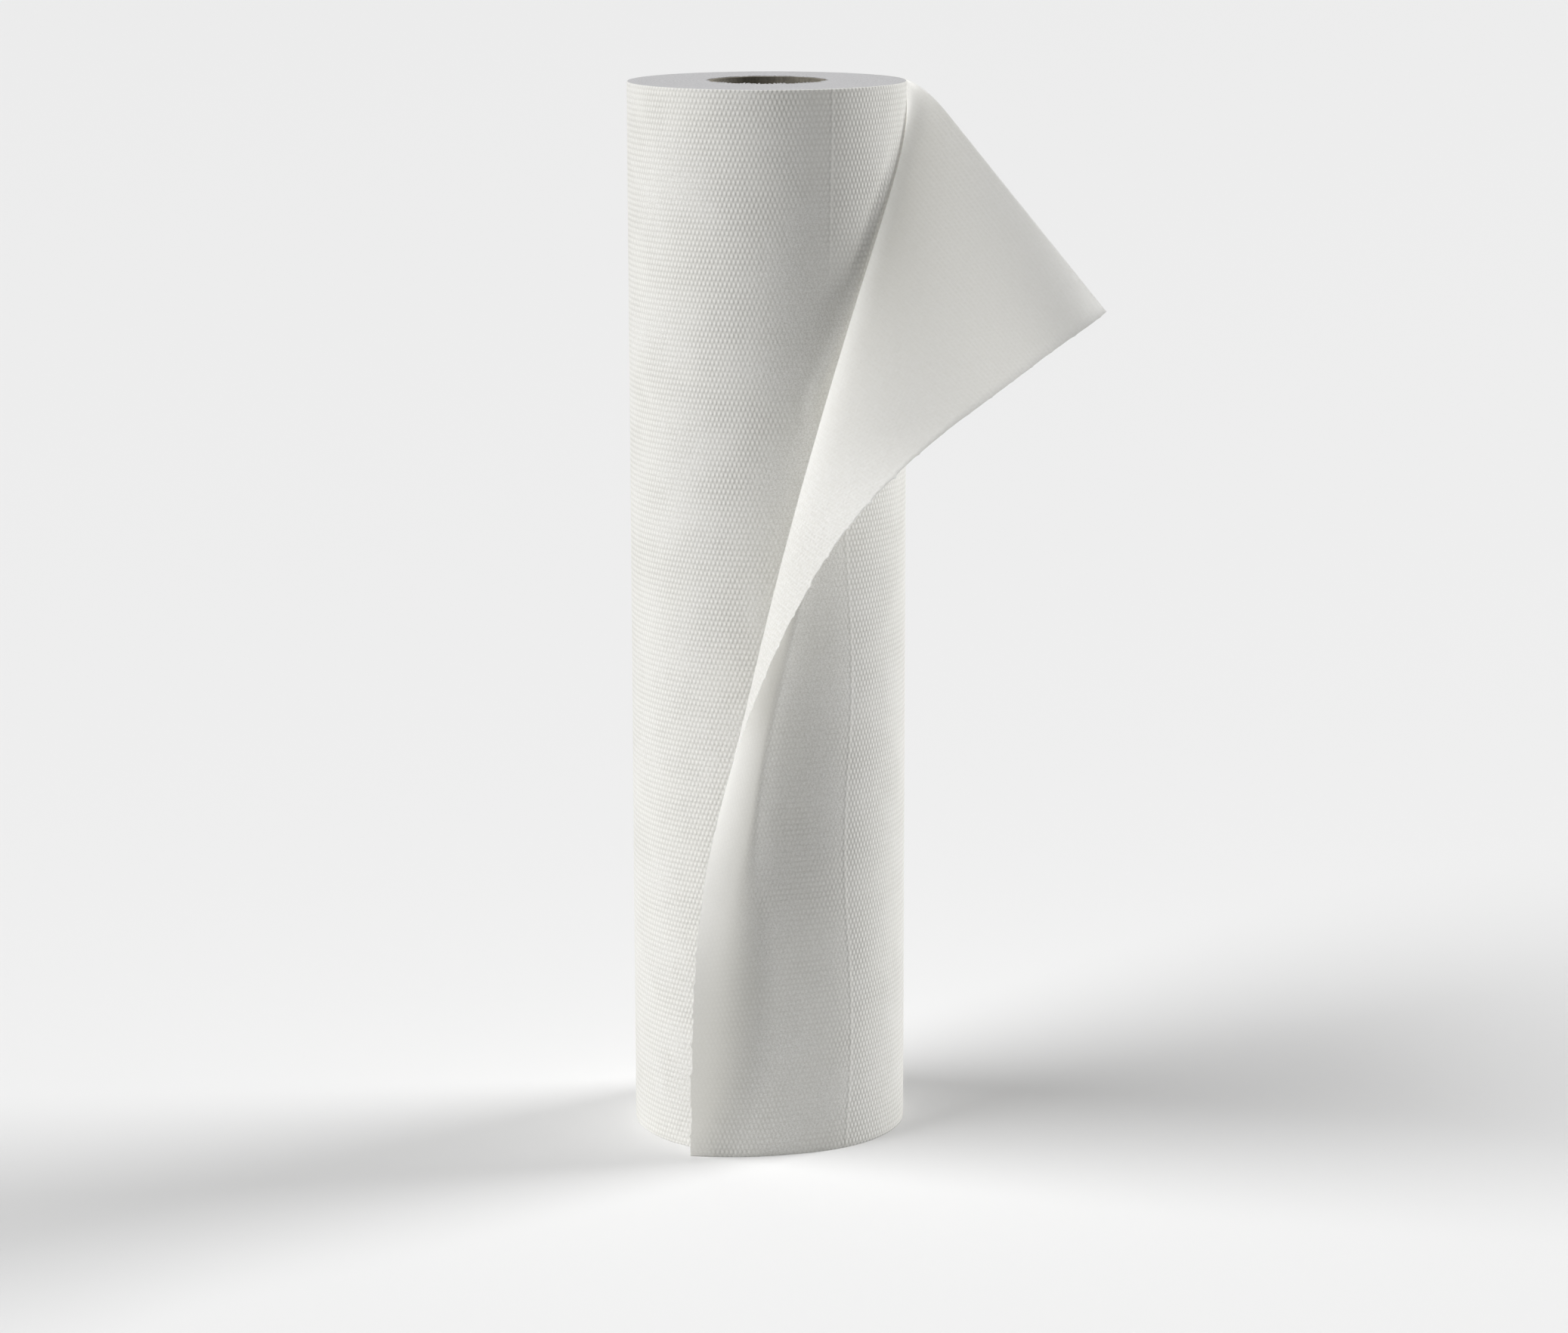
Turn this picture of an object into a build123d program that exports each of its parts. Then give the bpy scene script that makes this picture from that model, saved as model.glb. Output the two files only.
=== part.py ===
from build123d import *
import math
import os

import numpy as np

# Paper roll, in millimetres. It stands on its sawn end, with the core's axis on Z.
roll_length = 500.0
roll_diameter = 130.0
paper_thickness = 0.35

# Cardboard core, sawn flush with the paper.
core_bore = 50.0
core_wall = 3.0
core_clearance = 0.1

# Spiral line that the wound turns leave on each sawn end.
winding_lines = 4
winding_line_width = 0.8
winding_line_depth = 0.4
winding_margin = 4.0

# Loose end of the web. Azimuths are in degrees round the roll, 0 at the front and 90 at
# the right. The web comes round the back and the right towards the front. Its root lies
# in the wound turns, just under their surface.
tail_root_azimuth = 108.0
tail_run = 140.0
tail_sink = 0.25
tail_end_inset = 0.3

# How the loose end runs at six heights, evenly spaced from the base to the top. Each row
# follows the roll as far as leave_azimuth. From there it turns outwards and dips, by the
# angles given, over a stretch of bend_run, and goes on straight to the torn edge.
leave_azimuth = (16.0, 19.0, 16.0, 27.0, 44.0, 105.0)
turn_out = (-24.0, 9.0, 79.5, 97.0, 106.5, 55.5)
dip_down = (0.0, 3.5, 9.5, 15.5, 36.5, 49.0)
bend_run = (58.0, 86.5, 67.0, 57.5, 27.0, 41.0)

# Fineness of the loose end's faces.
tail_rows = 31
tail_columns = 27
steps_per_column = 8

roll_radius = roll_diameter / 2
core_radius = core_bore / 2 + core_wall
wound_inner_radius = core_radius + core_clearance
inner_face_radius = roll_radius - tail_sink - paper_thickness
tail_height = roll_length - 2 * tail_end_inset
upper_end = Plane.XY.offset(roll_length)


def along_height(values, share):
    """The smooth curve through values given at even heights, read at a share of the height."""
    knots = np.linspace(0.0, 1.0, len(values))
    return np.polyval(np.polyfit(knots, values, len(values) - 1), share)


def tail_row(share):
    """Points of one row of the loose end's inner face, from its root to the torn edge.

    The row is a path of unit speed. Its heading starts along the roll, and a smooth step
    over the bend adds the outward turn and the dip.
    """
    leave = math.radians(along_height(leave_azimuth, share))
    turn = math.radians(along_height(turn_out, share))
    dip = math.radians(along_height(dip_down, share))
    bend = along_height(bend_run, share)
    root = math.radians(tail_root_azimuth)
    length = inner_face_radius * (root - math.pi / 2) + tail_run
    count = (tail_columns - 1) * steps_per_column
    step = length / count
    travel = (np.arange(count) + 0.5) * step
    leave_travel = inner_face_radius * (root - leave)
    eased = np.clip((travel - leave_travel) / bend, 0.0, 1.0)
    eased = eased * eased * (3.0 - 2.0 * eased)
    heading = root - np.minimum(travel, leave_travel) / inner_face_radius - math.pi / 2
    heading = heading + turn * eased
    sinking = dip * eased
    ahead = np.column_stack(
        (
            np.sin(heading) * np.cos(sinking),
            -np.cos(heading) * np.cos(sinking),
            -np.sin(sinking),
        )
    )
    start = np.array(
        (
            inner_face_radius * math.sin(root),
            -inner_face_radius * math.cos(root),
            tail_end_inset + tail_height * share,
        )
    )
    path = np.vstack((start, start + np.cumsum(ahead * step, axis=0)))
    return path[::steps_per_column]


def spline_through(points):
    """The smooth edge through evenly spaced points of one row."""
    even = [float(share) for share in np.linspace(0.0, 1.0, len(points))]
    return Edge.make_spline([Vector(*point) for point in points], parameters=even)


def loose_end():
    """The loose end as a closed solid: thin sections joined up the height, and two caps."""
    inner_face = np.array([tail_row(share) for share in np.linspace(0.0, 1.0, tail_rows)])
    outward = np.cross(np.gradient(inner_face, axis=0), np.gradient(inner_face, axis=1))
    outward = outward / np.linalg.norm(outward, axis=-1, keepdims=True)
    outer_face = inner_face + paper_thickness * outward
    sections = []
    for inner_row, outer_row in zip(inner_face, outer_face):
        inner = spline_through(inner_row)
        outer = spline_through(outer_row[::-1])
        torn = Edge.make_line(inner @ 1, outer @ 0)
        root = Edge.make_line(outer @ 1, inner @ 0)
        sections.append(Wire([inner, torn, outer, root]))
    caps = []
    for row in (0, tail_rows - 1):
        caps.append(
            Face.make_surface_from_curves(
                spline_through(inner_face[row]), spline_through(outer_face[row])
            )
        )
    sides = Shell.make_loft(sections, ruled=True)
    return Solid(Shell(sides.faces() + caps))


def winding_line(base_plane):
    """Sketch of the spiral line on a sawn end: half turns about two centres by turns."""
    first_radius = wound_inner_radius + winding_margin
    last_radius = roll_radius - winding_margin - winding_line_width
    half_turns = 2 * winding_lines
    growth = (last_radius - first_radius) / half_turns
    with BuildSketch(base_plane) as line:
        with BuildLine():
            for side in (0.0, winding_line_width):
                for half in range(half_turns):
                    centre_x = growth / 2 if half % 2 else -growth / 2
                    start_angle = 180.0 if half % 2 else 0.0
                    radius = first_radius + half * growth + side
                    CenterArc((centre_x, 0), radius, start_angle, 180.0)
            first_x = first_radius - growth / 2
            last_x = last_radius - growth / 2
            Line((first_x, 0), (first_x + winding_line_width, 0))
            Line((last_x, 0), (last_x + winding_line_width, 0))
        make_face()
    return line.sketch


# Core
with BuildPart() as core_tube:
    with BuildSketch():
        Circle(core_radius)
        Circle(core_bore / 2, mode=Mode.SUBTRACT)
    extrude(amount=roll_length)
core_tube.part.label = "core_tube"

# Wound turns and the loose end, one web of paper
with BuildPart() as paper_roll:
    with BuildSketch():
        Circle(roll_radius)
        Circle(wound_inner_radius, mode=Mode.SUBTRACT)
    extrude(amount=roll_length)
    extrude(winding_line(upper_end), amount=-winding_line_depth, mode=Mode.SUBTRACT)
    extrude(winding_line(Plane.XY), amount=winding_line_depth, mode=Mode.SUBTRACT)
    add(loose_end())
paper_roll.part.label = "paper_roll"

os.makedirs("parts", exist_ok=True)
export_step(core_tube.part, "parts/core_tube.step")
export_step(paper_roll.part, "parts/paper_roll.step")
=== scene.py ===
import math

import bpy
import numpy as np
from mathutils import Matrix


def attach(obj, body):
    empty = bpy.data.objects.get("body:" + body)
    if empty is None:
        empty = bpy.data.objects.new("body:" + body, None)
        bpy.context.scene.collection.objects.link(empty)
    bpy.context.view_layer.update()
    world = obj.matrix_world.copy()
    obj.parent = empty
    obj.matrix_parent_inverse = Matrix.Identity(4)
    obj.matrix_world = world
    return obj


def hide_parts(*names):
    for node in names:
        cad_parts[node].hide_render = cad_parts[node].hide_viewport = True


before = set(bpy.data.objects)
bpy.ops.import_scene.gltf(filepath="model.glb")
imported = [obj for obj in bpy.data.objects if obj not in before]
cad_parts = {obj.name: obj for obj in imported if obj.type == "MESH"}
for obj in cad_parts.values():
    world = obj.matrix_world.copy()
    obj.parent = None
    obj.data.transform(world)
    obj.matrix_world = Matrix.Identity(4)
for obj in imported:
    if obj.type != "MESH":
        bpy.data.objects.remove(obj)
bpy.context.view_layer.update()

MM = 0.001
TURN = 2.0 * math.pi

# The photograph's camera: pixels, millimetres and radians
IMAGE_WIDTH = 2075.0
FOCAL_PIXELS = 5563.8
SENSOR_WIDTH = 36.0
CAMERA_PLACE = (8.34, -1964.9, 630.0)
CAMERA_DIP = 0.2046
CAMERA_ROLL = 0.0017

# The roll, in millimetres. Azimuths are in degrees, 0 at the front and 90 at the right.
ROLL_LENGTH = 500.0
ROLL_RADIUS = 65.0
WOUND_INNER_RADIUS = 28.1
RIM_ROUNDING = 0.5

# The pleat in the outer turn, along the left of the fold, with a valley on its own left
PLEAT_HEIGHT = (361.0, 382.0, 398.0, 417.0, 440.0, 452.0, 465.0, 478.0, 495.0)
PLEAT_AZIMUTH = (19.5, 28.5, 35.0, 42.5, 50.5, 57.0, 65.0, 71.0, 74.5)
PLEAT_RISE = 0.8
PLEAT_WIDTH = 2.6
VALLEY_DEPTH = 0.35
VALLEY_WIDTH = 2.2
VALLEY_SHIFT = 5.5

# The sawn paper's ragged fringe round the core
FRINGE_PERIODS = (2.0, 3.6, 5.0, 30.0)
FRINGE_REACH = 1.7
FRINGE_LIFT = 0.5

# The loose end, in millimetres and degrees
SHEET_THICKNESS = 0.2
SHEET_STAND = 0.18
ROOT_AZIMUTH = 128.0
ROOT_SINK = 0.7
ROOT_RUN = 9.0
LOOSE_RUN = 140.0
LIP_RISE = 1.0
LIP_WIDTH = 4.0
LIP_HEIGHT = (116.0, 157.0, 203.0, 240.0)
LIP_AZIMUTH = (-9.7, -4.9, 0.5, 5.8)
FIRST_TIE = 9.6
TIE_PITCH = 15.7
LEAVE_AZIMUTH = (16.0, 19.0, 16.0, 27.0, 44.0, 105.0)
TURN_OUT = (-24.0, 9.0, 79.5, 97.0, 106.5, 55.5)
DIP_DOWN = (0.0, 3.5, 9.5, 15.5, 36.5, 49.0)
BEND_RUN = (58.0, 86.5, 67.0, 57.5, 27.0, 41.0)

# The embossing: staggered dots, in millimetres
DOTS_ROUND = 194
DOT_PITCH_ROUND = TURN * ROLL_RADIUS / DOTS_ROUND
DOT_PITCH_UP = 5.15
DOT_NARROW = 0.72


def place_camera():
    """The photograph's view, from its focal length and image width in pixels."""
    data = bpy.data.cameras.new("photo_camera")
    data.sensor_width = SENSOR_WIDTH
    data.lens = FOCAL_PIXELS / IMAGE_WIDTH * SENSOR_WIDTH
    data.clip_end = 100.0
    data.shift_x = -0.5 / IMAGE_WIDTH
    camera = bpy.data.objects.new("photo_camera", data)
    camera.location = [place * MM for place in CAMERA_PLACE]
    camera.rotation_euler = (math.pi / 2 - CAMERA_DIP, CAMERA_ROLL, 0.0)
    bpy.context.scene.collection.objects.link(camera)
    bpy.context.scene.camera = camera


place_camera()


class Value:
    """A socket that carries a number. Arithmetic on it adds Math nodes."""

    def __init__(self, finish, socket):
        self.finish = finish
        self.socket = socket

    def __add__(self, other):
        return self.finish.math("ADD", self, other)

    def __sub__(self, other):
        return self.finish.math("SUBTRACT", self, other)

    def __mul__(self, other):
        return self.finish.math("MULTIPLY", self, other)

    def __rsub__(self, other):
        return self.finish.math("SUBTRACT", other, self)

    def __neg__(self):
        return self.finish.math("MULTIPLY", self, -1.0)

    __radd__ = __add__
    __rmul__ = __mul__


class Finish:
    """A material and its tree of nodes."""

    def __init__(self, name):
        self.material = bpy.data.materials.new(name)
        self.material.use_nodes = True
        self.tree = self.material.node_tree
        self.tree.nodes.clear()

    def node(self, kind, settings=None, inputs=None, output=0):
        """A node with its settings made first, then its sockets' values or links."""
        node = self.tree.nodes.new(kind)
        for name, setting in (settings or {}).items():
            setattr(node, name, setting)
        for name, value in (inputs or {}).items():
            if isinstance(value, Value):
                self.tree.links.new(value.socket, node.inputs[name])
            else:
                node.inputs[name].default_value = value
        if not node.outputs:
            return None
        return Value(self, node.outputs[output])

    def math(self, operation, *terms):
        return self.node("ShaderNodeMath", {"operation": operation}, dict(enumerate(terms)))

    def cos(self, value):
        return self.math("COSINE", value)

    def between(self, value, low, high):
        """0 at low, 1 at high, with soft ends; low may be the greater."""
        return self.node(
            "ShaderNodeMapRange",
            {"interpolation_type": "SMOOTHSTEP", "clamp": True},
            {"Value": value, "From Min": low, "From Max": high, "To Min": 0.0, "To Max": 1.0},
        )

    def ridge(self, value, width):
        """A bell over value, 1 at zero and about a third at the width."""
        scaled = value * (1.0 / width)
        return self.math("EXPONENT", -(scaled * scaled))

    def noise(self, place, scale, detail=2.0, roughness=0.5):
        return self.node(
            "ShaderNodeTexNoise",
            {"noise_dimensions": "3D"},
            {"Vector": place, "Scale": scale, "Detail": detail, "Roughness": roughness},
        )

    def mix_color(self, factor, first, second):
        return self.node(
            "ShaderNodeMix",
            {"data_type": "RGBA"},
            {0: factor, 6: first, 7: second},
            output=2,
        )

    def vector(self, x, y, z):
        return self.node("ShaderNodeCombineXYZ", None, {0: x, 1: y, 2: z})

    def parts(self, vector):
        """The three numbers of a vector."""
        first = self.node("ShaderNodeSeparateXYZ", None, {0: vector})
        outputs = first.socket.node.outputs
        return [Value(self, outputs[i]) for i in range(3)]

    def object_place(self):
        """The point on the object, in millimetres: the vector and its three numbers."""
        place = self.node("ShaderNodeTexCoord", output=3)
        scaled = self.node(
            "ShaderNodeVectorMath", {"operation": "SCALE"}, {0: place, "Scale": 1.0 / MM}
        )
        return scaled, self.parts(scaled)

    def surface(self, color, roughness, height=None, strength=1.0):
        """A Principled surface; height is in millimetres, and strength is its share in relief."""
        inputs = {"Base Color": color, "Roughness": roughness, "Specular IOR Level": 0.3}
        if height is not None:
            inputs["Normal"] = self.node(
                "ShaderNodeBump", None, {"Height": height, "Strength": strength, "Distance": MM}
            )
        return self.node("ShaderNodeBsdfPrincipled", None, inputs)

    def finish(self, shader):
        self.node("ShaderNodeOutputMaterial", None, {"Surface": shader})
        return self.material


def along_height(values, share):
    """The smooth curve through values given at even heights, read at shares of the height."""
    knots = np.linspace(0.0, 1.0, len(values))
    return np.polyval(np.polyfit(knots, values, len(values) - 1), share)


def smooth_step(value):
    """0 up to 0, 1 from 1, and an even S between them."""
    value = np.clip(value, 0.0, 1.0)
    return value * value * (3.0 - 2.0 * value)


def bell(value, width):
    """A bell, 1 at zero and about a third at the width."""
    return np.exp(-((value / width) ** 2))


def waves(value, periods, seed):
    """A sum of sines of the given periods with seeded phases and a total swing near 1."""
    phases = np.random.default_rng(seed).uniform(0.0, TURN, len(periods))
    total = np.zeros_like(value)
    for period, phase in zip(periods, phases):
        total = total + np.sin(TURN * value / period + phase)
    return total / len(periods)


def grid_faces(rows, columns, wrap=False):
    """Quads of a grid of rows by columns, their corners turning from row to row first."""
    across = columns if wrap else columns - 1
    row, column = np.meshgrid(np.arange(rows - 1), np.arange(across), indexing="ij")
    after = (column + 1) % columns
    corners = (
        row * columns + column,
        row * columns + after,
        (row + 1) * columns + after,
        (row + 1) * columns + column,
    )
    return np.stack(corners, axis=-1).reshape(-1, 4)


def make_piece(name, points, faces, materials, face_material=None):
    """A mesh object from points in millimetres and quads, at the origin."""
    points = np.asarray(points, dtype=np.float64).reshape(-1, 3) * MM
    mesh = bpy.data.meshes.new(name)
    mesh.vertices.add(len(points))
    mesh.vertices.foreach_set("co", points.ravel())
    mesh.loops.add(faces.size)
    mesh.loops.foreach_set("vertex_index", faces.ravel().astype(np.int32))
    mesh.polygons.add(len(faces))
    mesh.polygons.foreach_set("loop_start", np.arange(0, faces.size, 4, dtype=np.int32))
    mesh.polygons.foreach_set("use_smooth", np.full(len(faces), True))
    for material in materials:
        mesh.materials.append(material)
    if face_material is not None:
        mesh.polygons.foreach_set("material_index", face_material.astype(np.int32))
    mesh.update(calc_edges=True)
    mesh.validate()
    piece = bpy.data.objects.new(name, mesh)
    bpy.context.scene.collection.objects.link(piece)
    return piece


def lay_map(piece, name, first, second):
    """A UV map that gives each corner two numbers in millimetres, kept in units of a metre."""
    mesh = piece.data
    layer = mesh.uv_layers.new(name=name)
    vertex = np.empty(len(mesh.loops), dtype=np.int32)
    mesh.loops.foreach_get("vertex_index", vertex)
    flat = np.column_stack((first.ravel(), second.ravel())) * MM
    layer.data.foreach_set("uv", flat[vertex].ravel())


# Colours and the paper's share of light let through
PAPER = (0.89, 0.885, 0.85, 1.0)
PAPER_COOL = (0.90, 0.895, 0.87, 1.0)
# Darker paper: painted shade in the hollows, dimples and lower fold, and real specks of grain
PAPER_SHADE_AND_GRAIN = (0.68, 0.67, 0.63, 1.0)
# The inner face: the same paper, painted a little whiter as painted light that brightens the flap
PAPER_INSIDE_BRIGHTENED = (0.91, 0.91, 0.905, 1.0)
SAWN = (0.60, 0.60, 0.605, 1.0)
SAWN_DARK = (0.44, 0.435, 0.445, 1.0)
THROUGH_OUTER = (0.985, 0.98, 0.965, 1.0)
THROUGH_INNER = (0.985, 0.985, 0.975, 1.0)
BOARD = (0.17, 0.155, 0.125, 1.0)
BOARD_FIBRE = (0.27, 0.25, 0.205, 1.0)
BOARD_SEAM = (0.09, 0.08, 0.06, 1.0)
FLOOR_NEAR = (0.80, 0.80, 0.80, 1.0)
FLOOR_FAR = (0.52, 0.52, 0.52, 1.0)
SHOW_THROUGH = 0.76
PINHOLES = 0.09
DOT_RELIEF = 0.26


def embossing(finish, travel, height):
    """Staggered dots, a little taller than wide: 1 on them and 0 between.

    The value falls with the distance to the nearest dot's centre. Two lattices of the same
    pitches lie half a pitch apart. Each distance comes from the folded remainders of the
    travel and the height.
    """
    across = finish.math("PINGPONG", travel, DOT_PITCH_ROUND / 2)
    upward = finish.math("PINGPONG", height, DOT_PITCH_UP / 2) * DOT_NARROW
    first = across * across + upward * upward
    across = DOT_PITCH_ROUND / 2 - across
    upward = DOT_PITCH_UP / 2 * DOT_NARROW - upward
    second = across * across + upward * upward
    nearest = finish.math("SQRT", finish.math("MINIMUM", first, second))
    return finish.between(nearest, 1.05, 0.15)


def embossed_face(finish, place, travel, height, soft):
    """The embossed face: its height in millimetres, and its colour.

    Where the paper was pressed, at soft 1, the dots are low and the grain is coarse. The
    hollows between the dots are painted darker than their tops: painted shade, with specks of
    grain.
    """
    dot = embossing(finish, travel, height)
    patchy = finish.between(finish.noise(place, 0.045, 2.0), 0.3, 0.7)
    grain = finish.noise(place, 1.5, 3.0, 0.65)
    tall = (1.0 - 0.62 * soft) * (0.7 + 0.3 * patchy)
    relief = dot * (tall * DOT_RELIEF) + grain * (0.07 + 0.16 * soft)
    cloud = finish.noise(place, 0.03, 2.0)
    top = finish.mix_color(finish.between(cloud, 0.35, 0.7), PAPER, PAPER_COOL)
    specks = finish.between(grain, 0.65, 0.35) * (0.3 + 0.35 * soft)
    # Painted shade in the hollows between the dots, plus the real specks of grain
    shade = (1.0 - dot) * tall * 0.65 + specks
    return relief, finish.mix_color(shade, top, PAPER_SHADE_AND_GRAIN)


def wound_paper_finish():
    """The outer turn: dots in relief, pressed flat in patches, and a faint crease at the top."""
    finish = Finish("embossed_paper")
    place, (x, y, height) = finish.object_place()
    travel = finish.math("ARCTAN2", x, -y) * ROLL_RADIUS
    cloud = finish.noise(place, 0.03, 2.0)
    pressed = finish.ridge(travel - 17.0, 22.0) * finish.between(height, 490.0, 400.0)
    soft = finish.between(cloud + pressed * 0.4, 0.45, 0.9)
    relief, color = embossed_face(finish, place, travel, height, soft)
    crease = finish.ridge(travel - 31.0 + 0.02 * (500.0 - height), 0.8)
    relief = relief + crease * finish.between(height, 400.0, 440.0) * 0.3
    return finish.finish(finish.surface(color, 0.85, relief))


def read_map(finish, name):
    """The two numbers of one of the sheet's maps, in millimetres.

    The web map gives the travel from the front and the height on the flat web. The free
    map gives the distances from the line where the sheet leaves the roll and to its edge.
    """
    first, second, _ = finish.parts(finish.node("ShaderNodeUVMap", {"uv_map": name}))
    return first * (1.0 / MM), second * (1.0 / MM)


def thin_paper(finish, color, through, relief, closed=0.0):
    """A face of the loose sheet: off the roll it lets light through, and a little sight.

    It begins to do so at a line that comes nearer to the leaving line up the height. The
    line is sharp along the lip over the free edge, and soft above it and at the base.
    Where closed is 1 the sheet is 0.4 times as sheer.
    """
    past, _ = read_map(finish, "free")
    _, height = read_map(finish, "web")
    upper = finish.between(height, 300.0, 370.0)
    base = finish.between(height, 170.0, 80.0)
    valley = 47.9 - 0.137 * height - upper * 10.0
    half = 3.0 + upper * 10.0 + base * 15.0
    sheer = finish.between(past, valley - half, valley + half) * (1.0 - 0.6 * closed)
    front = finish.surface(color, 0.85, relief)
    glow = finish.node("ShaderNodeBsdfTranslucent", None, {"Color": through})
    lit = finish.node("ShaderNodeMixShader", None, {0: sheer * SHOW_THROUGH, 1: front, 2: glow})
    gap = finish.node("ShaderNodeBsdfTransparent")
    return finish.node("ShaderNodeMixShader", None, {0: sheer * PINHOLES, 1: lit, 2: gap})


def loose_paper_finish():
    """The loose sheet's embossed face: dots soft and grainy left of a pressed crease."""
    finish = Finish("loose_paper")
    place, _ = finish.object_place()
    travel, height = read_map(finish, "web")
    cloud = finish.noise(place, 0.03, 2.0)
    from_crease = travel - 39.8 - finish.cos(height * (TURN / 170.0) - 2.2) * 2.0
    soft = finish.between(from_crease, 3.0, -4.0) * finish.between(cloud, 0.2, 0.65)
    relief, color = embossed_face(finish, place, travel, height, soft)
    lower = finish.between(height, 345.0, 300.0)
    relief = relief + finish.ridge(from_crease, 0.9) * lower * 0.2
    shader = thin_paper(finish, color, THROUGH_OUTER, relief)
    return finish.finish(shader)


def inner_paper_finish():
    """The inner face: the dots' backs as dimples, fine ribs of fibre along the web, and grain.

    On the lower part of the fold it is painted darker, as painted shade, and made less sheer,
    so that the bright wedge there doesn't turn white. The dimples are painted darker too, as
    painted shade.
    """
    finish = Finish("inner_paper")
    place, _ = finish.object_place()
    travel, height = read_map(finish, "web")
    dot = embossing(finish, travel, height)
    ribs = finish.noise(finish.vector(travel * 0.22, height * 1.1, 0.0), 1.0, 3.0, 0.6)
    grain = finish.noise(place, 1.1, 3.0, 0.7)
    relief = dot * -0.2 + ribs * 0.4 + grain * 0.25
    # Painted shade in the dimples; the ribs and grain are darker as real texture
    shade = finish.between(ribs, 0.6, 0.4) * 0.3 + dot * 0.2
    # Painted shade over the lower fold, on the wedge and the lip below it; there the sheet is
    # also less sheer
    wedge = finish.between(height, 195.0, 225.0) * 0.6
    lip = finish.between(height, 110.0, 150.0) * 0.4
    lower = (wedge + lip) * finish.between(height, 370.0, 290.0)
    shade = shade + finish.between(grain, 0.62, 0.38) * 0.3 + lower * 0.45
    color = finish.mix_color(shade, PAPER_INSIDE_BRIGHTENED, PAPER_SHADE_AND_GRAIN)
    shader = thin_paper(finish, color, THROUGH_INNER, relief, lower)
    return finish.finish(shader)


def sawn_paper_finish():
    """The sawn ends: faint lines of the turns' edges, slightly off round, under a dusty grain."""
    finish = Finish("sawn_paper")
    place, (x, y, z) = finish.object_place()
    radius = finish.math("SQRT", x * x + y * y)
    wobble = finish.noise(place, 0.03, 1.0) * 3.0
    turn_lines = finish.noise(finish.vector((radius + wobble) * 1.0, 0.0, 0.0), 1.3, 4.0, 0.75)
    dust = finish.noise(place, 1.1, 4.0, 0.75)
    shade = finish.mix_color(
        finish.between(turn_lines * 0.45 + dust * 0.55, 0.4, 0.6), SAWN_DARK, SAWN
    )
    relief = turn_lines * 0.4 + dust * 0.4
    return finish.finish(finish.surface(shade, 0.95, relief, strength=0.6))


def board_finish():
    """Spiral-wound board: a slanting seam round the bore and brown-grey fibres."""
    finish = Finish("core_board")
    place, (x, y, z) = finish.object_place()
    azimuth = finish.math("ARCTAN2", x, -y)
    seam_place = finish.math("FRACT", z * (1.0 / 95.0) + azimuth * (1.0 / TURN))
    seam = finish.ridge(seam_place - 0.5, 0.006)
    fibre = finish.noise(finish.vector(azimuth * 25.0, z * 0.35, 0.0), 0.8, 4.0, 0.65)
    speck = finish.noise(place, 0.9, 3.0, 0.7)
    mottle = finish.between(fibre * 0.6 + speck * 0.4, 0.35, 0.65)
    shade = finish.mix_color(mottle, BOARD, BOARD_FIBRE)
    shade = finish.mix_color(seam * 0.6, shade, BOARD_SEAM)
    relief = fibre * 0.2 - seam * 0.4
    return finish.finish(finish.surface(shade, 0.8, relief))


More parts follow.
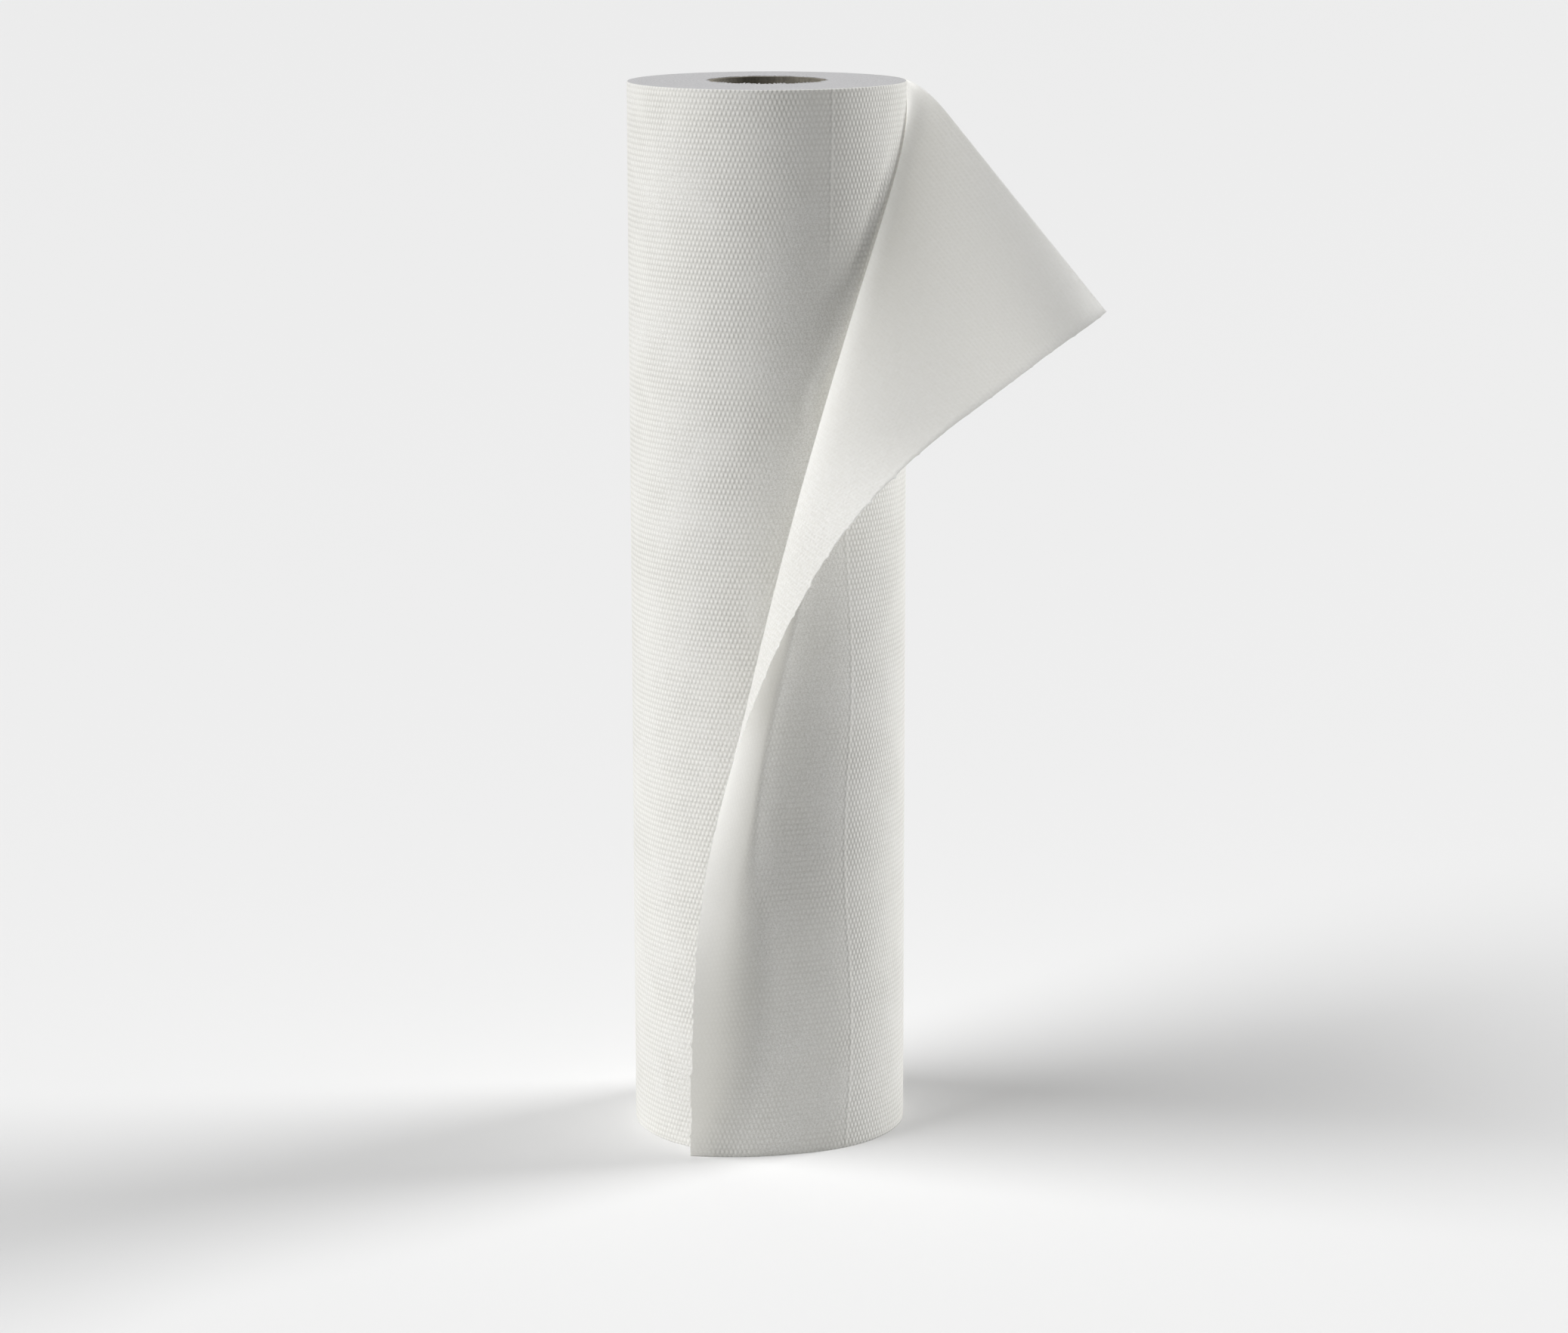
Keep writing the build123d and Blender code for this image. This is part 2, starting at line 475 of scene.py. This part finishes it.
def wound_turns():
    """The wound turns as one closed ring of a profile swept round the axis.

    The profile goes up the outside, over the rounded rim, in across the upper sawn end,
    down the inside and out across the lower end. The outside swells by slow waves of a few
    hundredths of a millimetre. Left of the fold the turn below is lifted into a soft pleat:
    a bell across the line of the fold, with a shallow valley on its left. Round the core
    the sawn paper ends in a ragged fringe that reaches over the board.
    """
    spokes = 300
    wall = np.linspace(RIM_ROUNDING, ROLL_LENGTH - RIM_ROUNDING, 181)
    bow = np.linspace(0.0, math.pi / 2, 6)[1:-1]
    span = np.linspace(ROLL_RADIUS - RIM_ROUNDING, WOUND_INNER_RADIUS, 34)
    inner = np.concatenate(([ROLL_LENGTH - 0.05], np.linspace(ROLL_LENGTH, 0.0, 12)[1:-1]))
    top = ROLL_LENGTH - RIM_ROUNDING
    edge = ROLL_RADIUS - RIM_ROUNDING
    radius = np.concatenate(
        (
            np.full(wall.shape, ROLL_RADIUS),
            edge + RIM_ROUNDING * np.cos(bow),
            span,
            np.full(inner.shape, WOUND_INNER_RADIUS),
            span[::-1],
            edge + RIM_ROUNDING * np.sin(bow),
        )
    )
    height = np.concatenate(
        (
            wall,
            top + RIM_ROUNDING * np.sin(bow),
            np.full(span.shape, ROLL_LENGTH),
            inner,
            np.zeros(span.shape),
            RIM_ROUNDING - RIM_ROUNDING * np.cos(bow),
        )
    )
    azimuth = np.linspace(0.0, TURN, spokes, endpoint=False)
    r, phi = np.meshgrid(radius, azimuth, indexing="ij")
    z = np.broadcast_to(height[:, None], r.shape).copy()
    outside = smooth_step((r - 60.0) / 4.0)
    degrees = (np.degrees(phi) + 180.0) % 360.0 - 180.0
    slow = waves(degrees + 0.2 * z, (120.0, 72.0), 3) * 0.05 + waves(z, (330.0, 170.0), 4) * 0.05
    fold_line = np.interp(z, PLEAT_HEIGHT, PLEAT_AZIMUTH)
    near = smooth_step((z - 335.0) / 30.0) * smooth_step((502.0 - z) / 60.0)
    pleat = bell(degrees - fold_line, PLEAT_WIDTH) * PLEAT_RISE
    valley = bell(degrees - fold_line + VALLEY_SHIFT, VALLEY_WIDTH) * VALLEY_DEPTH
    r = r + outside * (slow - 0.05 + near * (pleat - valley))
    on_end = (np.abs(z - ROLL_LENGTH) < 0.01) | (np.abs(z) < 0.01)
    turns = waves(r, (3.1, 1.7, 7.3), 8) * 0.12
    upper = on_end & (z > 1.0)
    z = np.where(upper, z + turns - 0.15, z)
    fringe = np.clip(waves(degrees, FRINGE_PERIODS, 14) * 1.6 + 0.2, 0.0, 1.0)
    fringe = fringe * upper * (r < 28.2) * (0.35 + 0.65 * bell(degrees, 70.0))
    r = r - fringe * FRINGE_REACH
    z = z + fringe * FRINGE_LIFT + upper * (r < 28.2) * 0.3
    points = np.stack((r * np.sin(phi), -r * np.cos(phi), z), axis=-1)
    rows = len(radius)
    closed = np.concatenate((points, points[:1]))
    faces = grid_faces(rows + 1, spokes, wrap=True) % (rows * spokes)
    row_of_face = np.repeat(np.arange(rows), spokes)
    first_end = len(wall) + len(bow) - 1
    last_end = rows - len(bow) - 1
    sawn = (row_of_face >= first_end) & (row_of_face <= last_end)
    return make_piece(
        "wound_turns",
        closed[:-1],
        faces,
        [wound_paper_finish(), sawn_paper_finish()],
        sawn.astype(int),
    )


def loose_end():
    """The loose end as a sheet: rows of unit-speed paths, stacked up the height.

    A row lies on the roll from its root to the azimuth where it leaves. There its heading
    turns outwards and dips by a smooth step over the bend, and it goes on straight to the
    torn edge. The columns crowd into the bend. The torn edge is ragged: slow waves, and a
    short tab at each tie of the perforation.
    """
    rows = 481
    share = np.linspace(0.0, 1.0, rows)[:, None]
    base = ROLL_RADIUS + SHEET_STAND
    root = math.radians(ROOT_AZIMUTH)
    leave = np.radians(along_height(LEAVE_AZIMUTH, share))
    turn = np.radians(along_height(TURN_OUT, share))
    dip = np.radians(along_height(DIP_DOWN, share))
    bend = along_height(BEND_RUN, share)
    height = share * ROLL_LENGTH
    along_edge = (height - FIRST_TIE) / TIE_PITCH
    stretch = np.floor(along_edge).astype(int)
    step_out = np.random.default_rng(12).uniform(-0.35, 0.35, 40)[stretch]
    from_tie = (along_edge - np.round(along_edge)) * TIE_PITCH
    torn = waves(height, (23.0, 9.0), 5) * 0.2 + step_out + bell(from_tie, 0.75) * 1.1
    ragged = torn * (1.0 - 0.75 * smooth_step((height - 350.0) / 30.0))
    length = base * (root - math.pi / 2) + LOOSE_RUN + ragged
    leave_travel = base * (root - leave)
    bend_end = np.minimum(leave_travel + bend, length - 4.0)
    held = np.linspace(0.0, 1.0, 22)[None, :-1] * leave_travel
    bent = leave_travel + np.linspace(0.0, 1.0, 41)[None, :-1] * (bend_end - leave_travel)
    straight = bend_end + np.linspace(0.0, 1.0, 20)[None, :] * (length - bend_end)
    travel = np.concatenate((held, bent, straight), axis=1)
    fine = 4
    steps = np.diff(travel, axis=1)
    step = np.repeat(steps / fine, fine, axis=1)
    at = np.concatenate((np.zeros((rows, 1)), np.cumsum(step, axis=1)), axis=1)
    middle = (at[:, 1:] + at[:, :-1]) / 2
    eased = smooth_step((middle - leave_travel) / bend)
    heading = root - np.minimum(middle, leave_travel) / base - math.pi / 2 + turn * eased
    sinking = dip * eased
    ahead = np.stack(
        (
            np.sin(heading) * np.cos(sinking),
            -np.cos(heading) * np.cos(sinking),
            -np.sin(sinking),
        ),
        axis=-1,
    )
    start = np.stack(
        (
            np.full(rows, base * math.sin(root)),
            np.full(rows, -base * math.cos(root)),
            height[:, 0],
        ),
        axis=-1,
    )
    path = start[:, None, :] + np.concatenate(
        (np.zeros((rows, 1, 3)), np.cumsum(ahead * step[..., None], axis=1)), axis=1
    )
    points = path[:, ::fine]
    spot = np.degrees(np.arctan2(points[..., 0], -points[..., 1]))
    lip_line = np.interp(points[..., 2], LIP_HEIGHT, LIP_AZIMUTH)
    lip = bell(spot - lip_line, LIP_WIDTH) * smooth_step((height - 95.0) / 50.0)
    lip = lip * smooth_step((255.0 - height) / 30.0)
    sink = ROOT_SINK * (1.0 - smooth_step(travel / ROOT_RUN)) - LIP_RISE * lip
    centre = points[..., :2] / np.linalg.norm(points[..., :2], axis=-1, keepdims=True)
    points[..., :2] -= centre * sink[..., None]
    columns = points.shape[1]
    faces = grid_faces(rows, columns)[:, ::-1]
    piece = make_piece(
        "loose_end", points, faces, [loose_paper_finish(), inner_paper_finish()]
    )
    along = base * root - travel
    lay_map(piece, "web", along, np.broadcast_to(height, along.shape))
    lay_map(piece, "free", travel - leave_travel, length - travel)
    wall = piece.modifiers.new("thickness", "SOLIDIFY")
    wall.thickness = SHEET_THICKNESS * MM
    wall.offset = -1.0
    wall.material_offset = 1
    wall.material_offset_rim = 0
    return piece


turns_piece = wound_turns()
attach(turns_piece, "root")
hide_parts("paper_roll")

end_piece = loose_end()
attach(end_piece, "root")
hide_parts("paper_roll")

board = board_finish()
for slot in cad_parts["core_tube"].material_slots:
    slot.material = board


def floor_finish():
    """A plain pale floor.

    The camera sees one grey. For light thrown back on the roll it is darker far away.
    """
    finish = Finish("floor")
    _, (x, y, z) = finish.object_place()
    away = finish.math("SQRT", x * x + y * y)
    far = finish.between(away, 450.0, 1500.0)
    seen = finish.node("ShaderNodeLightPath", output=0)
    seen = seen + finish.node("ShaderNodeLightPath", output=3)
    seen = seen + finish.node("ShaderNodeLightPath", output=6)
    unseen = 1.0 - finish.math("MINIMUM", seen, 1.0)
    color = finish.mix_color(far * unseen, FLOOR_NEAR, FLOOR_FAR)
    return finish.finish(finish.surface(color, 0.9))


def lay_floor():
    """A flat pale floor, 40 metres a side."""
    side = 20000.0
    points = np.array([(-side, -side, 0), (side, -side, 0), (side, side, 0), (-side, side, 0)])
    floor = make_piece("floor", points, np.array([[0, 1, 2, 3]]), [floor_finish()])


def hang_sun(name, azimuth, elevation, strength, size):
    """A wide soft sun, from an azimuth round the roll and an elevation, in degrees."""
    data = bpy.data.lights.new(name, "SUN")
    data.energy = strength
    data.angle = math.radians(size)
    lamp = bpy.data.objects.new(name, data)
    lamp.rotation_euler = (math.radians(90.0 - elevation), 0.0, math.radians(azimuth))
    bpy.context.scene.collection.objects.link(lamp)


def light_world():
    """A little soft light from all round."""
    world = bpy.data.worlds.new("room")
    bpy.context.scene.world = world
    world.use_nodes = True
    tree = world.node_tree
    tree.nodes.clear()
    background = tree.nodes.new("ShaderNodeBackground")
    background.inputs["Color"].default_value = (1.0, 1.0, 1.0, 1.0)
    background.inputs["Strength"].default_value = 0.03
    output = tree.nodes.new("ShaderNodeOutputWorld")
    tree.links.new(background.outputs[0], output.inputs["Surface"])


lay_floor()
hang_sun("left_light", -74.0, 43.0, 3.05, 45.0)
hang_sun("right_light", 112.0, 27.0, 2.7, 30.0)
light_world()
bpy.context.scene.view_settings.view_transform = "Standard"
